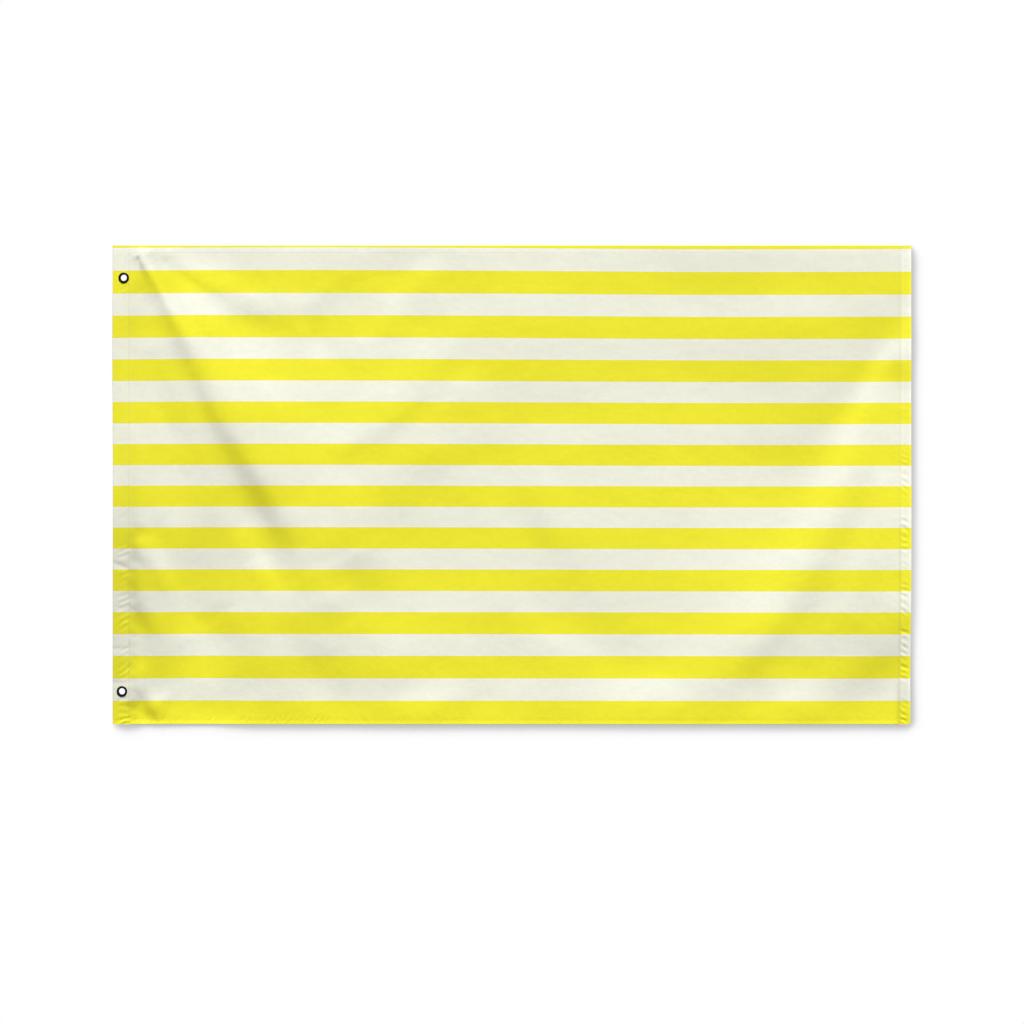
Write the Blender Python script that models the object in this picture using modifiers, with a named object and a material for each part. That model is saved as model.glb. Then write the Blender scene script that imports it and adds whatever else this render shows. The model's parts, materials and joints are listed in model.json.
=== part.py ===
"""Rectangular striped flag, 5 ft by 3 ft, with a taped heading and two eyelets.

Row frame: +Z up, metres. The flag stands upright in the XZ plane and its printed face looks along -Y.
The origin is the centre of the upper eyelet's hole, halfway through the heading.
+X runs from the hoist (heading) to the fly end.

The sewn cloth is one length of fabric on the real flag. Here it is cut into five lengths along X, joined by
upright hinges, so that rigid bodies can follow the bends that the cloth takes. Its hems are turned back on the +Y side.
"""

import math

import bmesh
import bpy
from mathutils import Matrix

# ---------------------------------------------------------------- driving dimensions (metres)
FLAG_LENGTH = 1.524           # hoist edge to fly edge, 5 ft
FLAG_HEIGHT = 0.9144          # 3 ft
CLOTH = 0.0005                # one ply of cloth
GAP = 0.0003                  # clearance between touching pieces

HEADING_WIDTH = 0.0330        # width of the folded heading
HEADING_TAPE_WIDTH = 0.0285
HEADING_TAPE = 0.0008         # thickness of the webbing inside the heading
TOP_HEM = 0.0150
BOTTOM_HEM = 0.0100
FLY_HEM = 0.0220

EYELET_FROM_HOIST = 0.0210    # upper eyelet's centre
EYELET_FROM_TOP = 0.0618
LOWER_EYELET_FROM_HOIST = 0.0176
LOWER_EYELET_FROM_BOTTOM = 0.0634
HOLE_R = 0.0062               # 12.4 mm hole
FLANGE_R = 0.0102             # 20.4 mm flange
BARREL_R = 0.00685
CLOTH_HOLE_R = 0.00725

THREAD_WIDTH = 0.0007
THREAD = 0.00035              # how far a row of stitches stands out
HEADING_ROW_1 = 0.0240        # rows of stitches, from the hoist edge
HEADING_ROW_2 = 0.0319
TOP_ROW = 0.0130              # from the top edge
BOTTOM_ROW = 0.0082           # from the bottom edge
FLY_ROW_1 = 0.0205            # from the fly edge
FLY_ROW_2 = 0.0120

HINGES = (0.110, 0.465, 0.820, 1.175)   # bends, from the hoist edge
HINGE_GAP = 0.0016

# ---------------------------------------------------------------- derived
X0 = -EYELET_FROM_HOIST                 # hoist edge
X1 = X0 + FLAG_LENGTH                   # fly edge
Z1 = EYELET_FROM_TOP                    # top edge
Z0 = Z1 - FLAG_HEIGHT                   # bottom edge
ZM = (Z0 + Z1) / 2
LOWER_X = X0 + LOWER_EYELET_FROM_HOIST
LOWER_Z = Z0 + LOWER_EYELET_FROM_BOTTOM
FACE = CLOTH / 2                        # cloth ply runs from -FACE to +FACE in Y
HEM_BACK = FACE + GAP + CLOTH           # outer face of a turned-back hem
SLEEVE_IN = HEADING_TAPE / 2 + GAP      # inner and outer faces of the heading's plies
SLEEVE_OUT = SLEEVE_IN + CLOTH

# ---------------------------------------------------------------- scene
for old in list(bpy.data.objects):
    bpy.data.objects.remove(old, do_unlink=True)

flag = bpy.data.collections.new("striped_flag")
helpers = bpy.data.collections.new("cutters")
bpy.context.scene.collection.children.link(flag)
bpy.context.scene.collection.children.link(helpers)


def material(name, colour, roughness, metallic=0.0):
    made = bpy.data.materials.new(name)
    made.use_nodes = True
    shader = made.node_tree.nodes["Principled BSDF"]
    shader.inputs["Base Color"].default_value = (*colour, 1.0)
    shader.inputs["Roughness"].default_value = roughness
    shader.inputs["Metallic"].default_value = metallic
    return made


CLOTH_LOOK = ((0.85, 0.78, 0.04), 0.75)
TAPE_LOOK = ((0.80, 0.79, 0.72), 0.85)
THREAD_LOOK = ((0.86, 0.84, 0.62), 0.60)
METAL_LOOK = ((0.012, 0.012, 0.013), 0.35, 0.6)


def placed(name, data, look, location=(0, 0, 0), rotation=(0, 0, 0)):
    """One named object of the flag with its own material."""
    made = bpy.data.objects.new(name, data)
    made.location, made.rotation_euler = location, rotation
    data.materials.append(material(name, *look))
    flag.objects.link(made)
    return made


def block(name, low, high, look):
    """A flat strip: a unit cube brought to size, with its origin at its centre."""
    size = [b - a for a, b in zip(low, high)]
    mesh = bpy.data.meshes.new(name)
    bm = bmesh.new()
    bmesh.ops.create_cube(bm, size=1.0, matrix=Matrix.Diagonal((*size, 1.0)))
    bm.to_mesh(mesh)
    bm.free()
    return placed(name, mesh, look, [(a + b) / 2 for a, b in zip(low, high)])


def outline(name, points, half_length):
    """A flat outline in its local XY plane, extruded to both sides along its local Z."""
    curve = bpy.data.curves.new(name, "CURVE")
    curve.dimensions, curve.fill_mode, curve.extrude = "2D", "BOTH", half_length
    spline = curve.splines.new("POLY")
    spline.points.add(len(points) - 1)
    for point, (x, y) in zip(spline.points, points):
        point.co = (x, y, 0.0, 1.0)
    spline.use_cyclic_u = True
    return curve


def arc(cx, cy, radius, start, end, steps=6):
    """Points on an arc, angles in degrees."""
    return [
        (
            cx + radius * math.cos(math.radians(start + (end - start) * i / steps)),
            cy + radius * math.sin(math.radians(start + (end - start) * i / steps)),
        )
        for i in range(steps + 1)
    ]


def as_mesh(curve_object):
    """The curve's evaluated shape as a mesh object, with its caps welded to its sides."""
    bpy.context.view_layer.update()
    graph = bpy.context.evaluated_depsgraph_get()
    mesh = bpy.data.meshes.new_from_object(curve_object.evaluated_get(graph))
    bm = bmesh.new()
    bm.from_mesh(mesh)
    bmesh.ops.remove_doubles(bm, verts=bm.verts, dist=1e-6)
    bmesh.ops.recalc_face_normals(bm, faces=bm.faces)
    bm.to_mesh(mesh)
    bm.free()
    name, matrix = curve_object.name, curve_object.matrix_world.copy()
    bpy.data.objects.remove(curve_object)
    made = bpy.data.objects.new(name, mesh)
    made.matrix_world = matrix
    flag.objects.link(made)
    return made


def round_cutter(name, x, z, radius):
    """A cylinder along Y, hidden from the render."""
    mesh = bpy.data.meshes.new(name)
    bm = bmesh.new()
    bmesh.ops.create_cone(
        bm, cap_ends=True, segments=24, radius1=radius, radius2=radius, depth=0.02
    )
    bm.to_mesh(mesh)
    bm.free()
    made = bpy.data.objects.new(name, mesh)
    made.location, made.rotation_euler = (x, 0, z), (math.pi / 2, 0, 0)
    made.hide_render, made.display_type = True, "WIRE"
    helpers.objects.link(made)
    return made


def cut(target, *cutters):
    for cutter in cutters:
        boolean = target.modifiers.new("hole_" + cutter.name, "BOOLEAN")
        boolean.operation, boolean.solver, boolean.object = "DIFFERENCE", "EXACT", cutter


def turned(name, profile, x, z, look, steps=32):
    """A closed profile of (radius, height) turned about the hole's axis. Its height points to the front, -Y."""
    mesh = bpy.data.meshes.new(name)
    bm = bmesh.new()
    points = [bm.verts.new((r, 0.0, h)) for r, h in profile]
    for a, b in zip(points, points[1:] + points[:1]):
        bm.edges.new((a, b))
    bm.to_mesh(mesh)
    bm.free()
    made = placed(name, mesh, look, (x, 0, z), (math.pi / 2, 0, 0))
    screw = made.modifiers.new("turn", "SCREW")
    screw.axis, screw.angle = "Z", 2 * math.pi
    screw.steps = screw.render_steps = steps
    screw.use_merge_vertices, screw.merge_threshold = True, 1e-5
    screw.use_smooth_shade = True
    return made


# ---------------------------------------------------------------- heading: tape in a folded sleeve
cutters = [
    round_cutter("upper_hole_cutter", 0.0, 0.0, CLOTH_HOLE_R),
    round_cutter("lower_hole_cutter", LOWER_X, LOWER_Z, CLOTH_HOLE_R),
]

middle = (SLEEVE_IN + SLEEVE_OUT) / 2
fold_x = X0 + SLEEVE_OUT                # centre of the fold's curve
sleeve_right = X0 + HEADING_WIDTH
sleeve_profile = (
    [(sleeve_right, -SLEEVE_OUT), (sleeve_right, -SLEEVE_IN)]
    + arc(fold_x, 0.0, SLEEVE_IN, 270, 90)
    + [(sleeve_right, SLEEVE_IN), (sleeve_right, SLEEVE_OUT)]
    + arc(fold_x, 0.0, SLEEVE_OUT, 90, 270)
)
sleeve = placed(
    "heading_sleeve",
    outline("heading_sleeve", sleeve_profile, FLAG_HEIGHT / 2),
    CLOTH_LOOK,
    (0, 0, ZM),
)
sleeve = as_mesh(sleeve)
cut(sleeve, *cutters)

tape_x0 = X0 + 0.0024
tape = block(
    "heading_tape",
    (tape_x0, -HEADING_TAPE / 2, Z0 + 0.003),
    (tape_x0 + HEADING_TAPE_WIDTH, HEADING_TAPE / 2, Z1 - 0.003),
    TAPE_LOOK,
)
cut(tape, *cutters)

# ---------------------------------------------------------------- eyelets and their washers
FRONT = SLEEVE_OUT + GAP                # a flange lies this far in front of the hole's middle
eyelet_profile = [
    (HOLE_R + 0.0004, FRONT + 0.00110),
    (0.0072, FRONT + 0.00130),
    (0.0088, FRONT + 0.00130),          # flat land of the flange
    (0.0097, FRONT + 0.00095),
    (FLANGE_R, FRONT + 0.00035),
    (FLANGE_R, FRONT),
    (BARREL_R, FRONT),                  # under the flange to the barrel
    (BARREL_R, -FRONT - 0.00095),       # barrel, rolled out over the washer
    (0.0079, -FRONT - 0.00100),
    (0.0083, -FRONT - 0.00130),
    (0.0079, -FRONT - 0.00165),
    (0.0070, -FRONT - 0.00175),
    (HOLE_R + 0.0001, -FRONT - 0.00135),
    (HOLE_R, -FRONT - 0.00090),
    (HOLE_R, FRONT + 0.00065),
]
washer_profile = [
    (0.0100, -FRONT),
    (FLANGE_R, -FRONT - 0.00020),
    (0.0100, -FRONT - 0.00055),
    (0.0097, -FRONT - 0.00065),
    (0.0087, -FRONT - 0.00065),         # flat land round the rolled barrel
    (0.0085, -FRONT - 0.00055),
    (BARREL_R + GAP, -FRONT - 0.00055), # seat under the roll
    (BARREL_R + GAP, -FRONT),
]
for which, x, z in (("upper", 0.0, 0.0), ("lower", LOWER_X, LOWER_Z)):
    turned(f"{which}_eyelet", eyelet_profile, x, z, METAL_LOOK)
    turned(f"{which}_eyelet_washer", washer_profile, x, z, METAL_LOOK)

# ---------------------------------------------------------------- cloth, in lengths between the hinges
TOP_OUT = HEM_BACK                      # the hem's fold is a half round of this width
mid_hem = (HEM_BACK - FACE) / 2         # its centre in Y, and its outer radius
hem_r = (HEM_BACK + FACE) / 2


def cloth_profile():
    """Section in (Y, Z): the front ply with both edges turned back behind it."""
    inner = hem_r - CLOTH
    return (
        [(-FACE, Z0 + hem_r - ZM)]
        + [(-FACE, Z1 - hem_r - ZM)]
        + arc(mid_hem, Z1 - hem_r - ZM, hem_r, 180, 0)[1:]
        + [(HEM_BACK, Z1 - TOP_HEM - ZM), (HEM_BACK - CLOTH, Z1 - TOP_HEM - ZM)]
        + arc(mid_hem, Z1 - hem_r - ZM, inner, 0, 180)
        + arc(mid_hem, Z0 + hem_r - ZM, inner, 180, 360)
        + [(HEM_BACK - CLOTH, Z0 + BOTTOM_HEM - ZM), (HEM_BACK, Z0 + BOTTOM_HEM - ZM)]
        + arc(mid_hem, Z0 + hem_r - ZM, hem_r, 360, 180)[:-1]
    )


hinge_x = [X0 + h for h in HINGES]
starts = [X0 + HEADING_WIDTH + GAP] + [x + HINGE_GAP / 2 for x in hinge_x]
ends = [x - HINGE_GAP / 2 for x in hinge_x] + [X1 - FLY_HEM - GAP]
for number, (a, b) in enumerate(zip(starts, ends)):
    placed(
        f"cloth_{number}",
        outline(f"cloth_{number}", cloth_profile(), (b - a) / 2),
        CLOTH_LOOK,
        ((a + b) / 2, 0, ZM),
        (math.pi / 2, 0, math.pi / 2),
    )
    # rows of stitches along the top and bottom hems
    y_out, y_in = -FACE - GAP - THREAD, -FACE - GAP
    for edge, z in (("top", Z1 - TOP_ROW), ("bottom", Z0 + BOTTOM_ROW)):
        block(
            f"{edge}_hem_thread_{number}",
            (a + GAP, y_out, z - THREAD_WIDTH / 2),
            (b - GAP, y_in, z + THREAD_WIDTH / 2),
            THREAD_LOOK,
        )

# ---------------------------------------------------------------- fly end: the cloth folded back and sewn twice
fly_left = X1 - FLY_HEM
fly_profile = (
    [(fly_left, -FACE)]
    + arc(X1 - hem_r, mid_hem, hem_r, -90, 90)
    + [(fly_left, HEM_BACK), (fly_left, HEM_BACK - CLOTH)]
    + arc(X1 - hem_r, mid_hem, hem_r - CLOTH, 90, -90)
    + [(fly_left, FACE)]
)
placed(
    "fly_hem",
    outline("fly_hem", fly_profile, FLAG_HEIGHT / 2),
    CLOTH_LOOK,
    (0, 0, ZM),
)
for number, row in ((1, FLY_ROW_1), (2, FLY_ROW_2)):
    block(
        f"fly_hem_thread_{number}",
        (X1 - row - THREAD_WIDTH / 2, -FACE - GAP - THREAD, Z0 + 0.002),
        (X1 - row + THREAD_WIDTH / 2, -FACE - GAP, Z1 - 0.002),
        THREAD_LOOK,
    )

# ---------------------------------------------------------------- heading's rows of stitches
y_out, y_in = -SLEEVE_OUT - GAP - THREAD, -SLEEVE_OUT - GAP
clear = FLANGE_R + 0.0008
block(
    "heading_thread_1",
    (X0 + HEADING_ROW_1 - THREAD_WIDTH / 2, y_out, LOWER_Z + clear),
    (X0 + HEADING_ROW_1 + THREAD_WIDTH / 2, y_in, -clear),
    THREAD_LOOK,
)
block(
    "heading_thread_2",
    (X0 + HEADING_ROW_2 - THREAD_WIDTH / 2, y_out, Z0 + 0.002),
    (X0 + HEADING_ROW_2 + THREAD_WIDTH / 2, y_in, Z1 - 0.002),
    THREAD_LOOK,
)
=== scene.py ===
"""Looks of the striped flag: hanging cloth with its folds, hems, stitches, heading, tape and eyelets."""

import json
import math

import bpy
import numpy as np
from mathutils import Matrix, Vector


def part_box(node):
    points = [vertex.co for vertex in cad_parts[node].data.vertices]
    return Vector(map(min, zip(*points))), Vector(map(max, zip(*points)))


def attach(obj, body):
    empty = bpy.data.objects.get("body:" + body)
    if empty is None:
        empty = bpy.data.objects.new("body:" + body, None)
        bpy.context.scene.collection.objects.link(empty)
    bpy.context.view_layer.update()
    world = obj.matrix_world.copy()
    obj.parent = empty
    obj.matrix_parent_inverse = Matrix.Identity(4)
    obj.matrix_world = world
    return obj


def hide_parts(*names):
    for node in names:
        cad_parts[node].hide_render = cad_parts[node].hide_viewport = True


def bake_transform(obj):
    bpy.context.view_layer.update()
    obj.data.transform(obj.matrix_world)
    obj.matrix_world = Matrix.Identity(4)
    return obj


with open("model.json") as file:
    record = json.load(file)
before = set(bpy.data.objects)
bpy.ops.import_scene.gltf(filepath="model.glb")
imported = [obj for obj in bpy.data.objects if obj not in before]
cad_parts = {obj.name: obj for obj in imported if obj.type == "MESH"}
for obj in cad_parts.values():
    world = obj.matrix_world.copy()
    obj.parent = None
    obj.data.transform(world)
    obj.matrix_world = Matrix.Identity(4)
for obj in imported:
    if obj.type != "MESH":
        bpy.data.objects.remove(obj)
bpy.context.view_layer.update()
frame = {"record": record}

# ---------------------------------------------------------------- sizes, from the frame
lo_h, hi_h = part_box("heading_sleeve")
lo_f, hi_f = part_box("fly_hem")
X0, X1 = lo_h[0], hi_f[0]
Z0, Z1 = lo_h[2], hi_h[2]
L, H = (X1 - X0) * 1000, (Z1 - Z0) * 1000            # 1524 by 914.4 mm
HEADING = (hi_h[0] - lo_h[0]) * 1000                 # 33 mm
FLY = (hi_f[0] - lo_f[0]) * 1000                     # 22 mm
TOP_HEM, BOTTOM_HEM = 15.0, 10.0
HOLES = []
for node in ("upper_eyelet", "lower_eyelet"):
    a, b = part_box(node)
    HOLES.append((((a[0] + b[0]) / 2 - X0) * 1000, (Z1 - (a[2] + b[2]) / 2) * 1000))
HINGES = [(j["pos_m"][0] - X0) * 1000 for j in frame["record"]["behaviour"]["joints"]]
PLY = 0.42                                           # thickness of the cloth, mm
FOLD = 0.48                                          # radius of a hem's fold, middle of the ply, mm
rng = np.random.default_rng(11)

# ---------------------------------------------------------------- folds
# Each line is the middle of a bank in the cloth: (along, down, half width, rise across it towards its lower side), in mm.
# A rise above 0 faces up and catches the light; below 0 it faces down.
BANDS = [
    [(53, 23, 14, -0.4), (81, 87, 21, -3.1), (121, 165, 25, -5.7), (162, 253, 18, -2.8), (191, 322, 17, -3.1), (225, 382, 24, -4.1), (268, 455, 27, -5.4), (306, 528, 23, -3.4), (331, 589, 29, -1.8), (351, 652, 37, -3.5), (397, 697, 37, -3.2)],
    [(64, 28, 5, 1.3), (100, 102, 9, 1.2), (152, 176, 13, 1.2), (207, 268, 25, 0.9), (252, 347, 32, -0.3), (286, 425, 36, 0), (335, 494, 42, -0.3)],
    [(194, 69, 37, 0.8), (239, 215, 55, 3.9), (354, 312, 63, 5.4), (435, 448, 79, 7.5)],
    [(108, 32, 9, -0.4), (168, 74, 8, -0.5), (222, 110, 15, -0.6), (282, 139, 20, -1.2), (361, 149, 16, 1)],
    [(98, 22, 8, -0.6), (185, 43, 21, 0.9), (255, 81, 19, 0.7), (315, 109, 13, -0), (371, 104, 15, 0.4)],
    [(375, 151, 29, -2), (427, 107, 25, -0.5), (505, 82, 30, 0.8)],
    [(651, 23, 16, -0.2), (585, 49, 23, 1.6), (525, 127, 23, 1.6), (472, 203, 26, 0.5), (410, 268, 28, 0.4)],
    [(705, 109, 27, 0.5), (666, 199, 22, -0.2), (572, 268, 34, -2.4), (486, 339, 31, -0.8)],
    [(685, 173, 15, -0.4), (636, 254, 17, -0.4), (567, 320, 22, -2.4), (511, 364, 23, -2), (447, 402, 23, -1.6)],
    [(735, 250, 28, -0.1), (637, 332, 34, -2.1), (549, 376, 27, -1.4), (476, 442, 35, -0.9)],
    [(694, 372, 47, -3.2), (573, 432, 53, -6.5), (513, 564, 50, -3.1), (455, 638, 42, -3.4)],
    [(62, 158, 28, -3.9), (98, 238, 37, -5.3), (125, 333, 30, -3.2), (162, 441, 42, -1.4), (172, 561, 40, 4.4), (226, 618, 36, 2.3)],
    [(35, 202, 30, -3.6), (46, 291, 21, -2.4), (68, 371, 20, -0.4)],
    [(57, 509, 13, 0.1), (95, 607, 16, 2.1), (154, 724, 28, 2.1), (198, 795, 26, -0.4), (240, 881, 35, -2)],
    [(37, 550, 9, 1.6), (38, 629, 14, -2.2), (47, 700, 18, -5.6), (71, 811, 45, -3.9), (188, 875, 32, -1.8)],
    [(124, 540, 30, 1.6), (148, 642, 35, 6), (215, 744, 57, -7.7), (260, 807, 70, -10)],
    [(245, 543, 27, 1.3), (300, 627, 20, 2.1), (339, 718, 31, -2), (388, 777, 31, -1.9)],
    [(419, 596, 35, -2.3), (478, 632, 33, -2.7), (493, 818, 41, -4.2)],
    [(625, 568, 53, -0.2), (585, 688, 55, -0.1), (597, 802, 54, 1.8)],
    [(744, 554, 25, 0), (727, 667, 28, -0.9), (711, 779, 32, -1.5), (691, 857, 29, -2.1)],
    [(768, 458, 30, -0.7), (827, 568, 30, -1.5), (880, 651, 32, -0.7), (949, 732, 29, -0.3), (1022, 781, 29, -0.8)],
    [(754, 631, 21, 0.3), (818, 719, 23, 0.7), (902, 775, 25, 0.5), (998, 821, 28, -0.4), (1074, 864, 30, 0.8)],
    [(1526, 133, 20, 1.3), (1499, 182, 20, 2.1), (1458, 231, 16, 2.7), (1427, 309, 20, 5.3), (1398, 389, 31, 6.1), (1361, 474, 44, 7.1), (1309, 571, 48, 4.4), (1230, 644, 53, -0.2), (1159, 729, 58, 1.9), (1077, 804, 61, 4.1), (989, 848, 61, 3.8)],
    [(1422, 459, 17, -0.3), (1382, 559, 18, -0.8), (1341, 641, 22, -1.1), (1292, 720, 29, -2.7), (1227, 802, 24, -1.4), (1154, 870, 27, 0.1)],
    [(1451, 452, 16, 0.9), (1433, 559, 21, 2.4), (1395, 667, 26, 2.2), (1351, 745, 23, 0.5), (1302, 812, 19, 0.4)],
    [(1527, 712, 33, -2.9), (1494, 778, 39, -3.6), (1420, 837, 34, -2.1), (1348, 869, 32, 1.7)],
    [(1390, 777, 24, 0), (1332, 837, 29, 2.1), (1253, 885, 31, 2.3)],
    [(1373, 209, 60, -2.4), (1296, 356, 70, 2.7), (1219, 454, 72, 3.1)],
    [(1490, 150, 31, -0.1), (1314, 185, 38, -0.5), (1139, 216, 48, -2), (955, 221, 42, -0.3)],
    [(864, 343, 57, 0.8), (1031, 330, 57, -0.3), (1148, 384, 57, 0.6)],
    [(447, 850, 33, -2.1), (573, 864, 33, 3.2), (682, 836, 30, -0.3)],
    [(59, 29, 5, 0.1), (90, 98, 6, -0.5), (121, 165, 8, -0.1), (153, 214, 10, -0)],
    [(44, 29, 5, -0.9), (49, 25, 7, -1.9), (55, 44, 5, -0.6), (67, 68, 9, -0.1)],
    [(34, 581, 7, -0.7), (49, 595, 9, -1.2), (65, 616, 7, -0.2)],
    [(35, 692, 9, -1), (52, 711, 10, -0.6), (74, 737, 10, -0.2)],
    [(30, 833, 12, -3.1), (53, 861, 13, -1.8), (71, 892, 13, -3.3), (92, 911, 6, 0.5)],
    [(150, 120, 6, 0.1), (190, 136, 7, -0), (232, 142, 8, 0)],
    [(89, 291, 10, 0), (100, 362, 13, 0.3), (126, 419, 14, -0.4)],
    [(40, 639, 8, 0.2), (62, 667, 8, -0.1), (84, 700, 9, 0.1)],
]
# Wide, soft swells of the whole cloth: (along, down, reach along, reach down, height), in mm.
SWELLS = [
    (150, 700, 150, 120, -9.1), (330, 250, 150, 120, 6.7), (330, 640, 150, 120, 4.2), (560, 420, 150, 120, 8.8), (560, 700, 150, 120, -0.3),
    (800, 180, 150, 120, 2.1), (800, 560, 150, 120, 1), (1000, 700, 150, 120, 0.8), (1150, 130, 150, 120, -4.7), (1240, 420, 150, 120, -1.3),
    (1440, 620, 150, 120, 5), (1300, 760, 150, 120, 4.9), (120, 420, 150, 120, 4.1), (1180, 560, 150, 120, -3.3),
]
FADE = 2.9                                           # a bank dies away over this many half widths
LIMIT = 11.4                                         # how far the cloth may leave its plane, mm


def smooth(x, a, b):
    t = np.clip((np.asarray(x, float) - a) / (b - a), 0, 1)
    return t * t * (3 - 2 * t)


def spline(points, step=10.0):
    """A smooth line through the points, with their other values carried along."""
    p = np.array(points, float)
    p = np.vstack([2 * p[0] - p[1], p, 2 * p[-1] - p[-2]])
    out = []
    for i in range(1, len(p) - 2):
        n = max(2, int(np.hypot(*(p[i + 1, :2] - p[i, :2])) / step))
        for t in np.arange(n) / n:
            w = 0.5 * np.array([-t + 2 * t * t - t**3, 2 - 5 * t * t + 3 * t**3, t + 4 * t * t - 3 * t**3, -t * t + t**3])
            out.append(w @ p[i - 1 : i + 3])
    out.append(p[-2])
    return np.array(out)


def blur(a, cells):
    k = np.exp(-0.5 * (np.arange(-int(3.5 * cells + 1), int(3.5 * cells + 1) + 1) / cells) ** 2)
    k /= k.sum()
    pad = len(k) // 2
    for axis in (0, 1):
        a = np.moveaxis(a, axis, 0)
        p = np.concatenate([np.repeat(a[:1], pad, 0), a, np.repeat(a[-1:], pad, 0)])
        a = sum(w * p[i : i + len(a)] for i, w in enumerate(k))
        a = np.moveaxis(a, 0, axis)
    return a


def bank(u, v, points):
    """The shape of one bank on the grid u, v."""
    line = spline(points)
    out = np.zeros(u.shape)
    reach = 2.4 * FADE * line[:, 2].max()
    near = (
        (u[:, 0] > line[:, 0].min() - reach) & (u[:, 0] < line[:, 0].max() + reach),
        (v[0] > line[:, 1].min() - reach) & (v[0] < line[:, 1].max() + reach),
    )
    if not (near[0].any() and near[1].any()):
        return out
    window = np.ix_(*near)
    u, v = u[window], v[window]
    best = np.full(u.shape, 1e12)
    across, end, width, rise = (np.zeros(u.shape) for _ in range(4))
    for j, (a, b) in enumerate(zip(line[:-1], line[1:])):
        d = b[:2] - a[:2]
        n = np.hypot(*d)
        s = ((u - a[0]) * d[0] + (v - a[1]) * d[1]) / (n * n)
        t = np.clip(s, 0, 1)
        r = (u - a[0] - t * d[0]) ** 2 + (v - a[1] - t * d[1]) ** 2
        m = r < best
        best[m] = r[m]
        normal = np.array([-d[1], d[0]]) / n
        if normal[1] < 0:
            normal = -normal
        side = (u - a[0]) * normal[0] + (v - a[1]) * normal[1]
        past = np.zeros(u.shape)
        if j == 0:
            past = np.maximum(past, -s * n)
        if j == len(line) - 2:
            past = np.maximum(past, (s - 1) * n)
        across[m] = np.where(past > 0, side, np.sign(side) * np.sqrt(r))[m]
        end[m] = past[m]
        width[m] = (a[2] + (b[2] - a[2]) * t)[m]
        rise[m] = (a[3] + (b[3] - a[3]) * t)[m]
    shape = rise * np.tanh(across / width) * np.exp(-((across / (FADE * width)) ** 2)) * np.exp(-((end / (1.2 * width)) ** 2))
    out[window] = blur(shape, 0.22 * line[:, 2].mean() / (u[1, 0] - u[0, 0]))
    return out


def waves(u, v, count, low, high, seed):
    """Soft random undulation between -1 and 1, from waves of low to high mm."""
    r = np.random.default_rng(seed)
    out = np.zeros(np.broadcast(u, v).shape)
    for _ in range(count):
        wave, turn, phase = np.exp(r.uniform(np.log(low), np.log(high))), r.uniform(0, 2 * np.pi), r.uniform(0, 2 * np.pi)
        out = out + np.sin((u * np.cos(turn) + v * np.sin(turn)) * 2 * np.pi / wave + phase)
    return out / math.sqrt(count)


CELL = 4.0
gu, gv = np.arange(-8, L + 12, CELL), np.arange(-8, H + 12, CELL)
GU, GV = np.meshgrid(gu, gv, indexing="ij")
field = sum(bank(GU, GV, points) for points in BANDS)
for cu, cv, ru, rv, rise in SWELLS:
    field += rise * np.exp(-(((GU - cu) / ru) ** 2) - ((GV - cv) / rv) ** 2)
field += 0.18 * waves(GU, GV, 14, 90, 260, 3) + 0.035 * waves(GU, GV, 18, 28, 60, 4)
field *= smooth(GU, 8, 62)                           # the taped heading stays flat
for hu, hv in HOLES:
    field *= smooth(np.hypot(GU - hu, GV - hv), 10, 44)
field /= (1 + (field / LIMIT) ** 8) ** 0.125


def cubic(lines, at):
    """Matrix that reads values on evenly spaced lines at other places."""
    m = np.zeros((len(at), len(lines)))
    f = (np.asarray(at) - lines[0]) / (lines[1] - lines[0])
    i = np.clip(np.floor(f).astype(int), 1, len(lines) - 3)
    t = f - i
    for k, w in zip((-1, 0, 1, 2), (-t / 2 + t * t - t**3 / 2, 1 - 2.5 * t * t + 1.5 * t**3, t / 2 + 2 * t * t - 1.5 * t**3, -t * t / 2 + t**3 / 2)):
        m[np.arange(len(at)), i + k] += w
    return m


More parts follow.
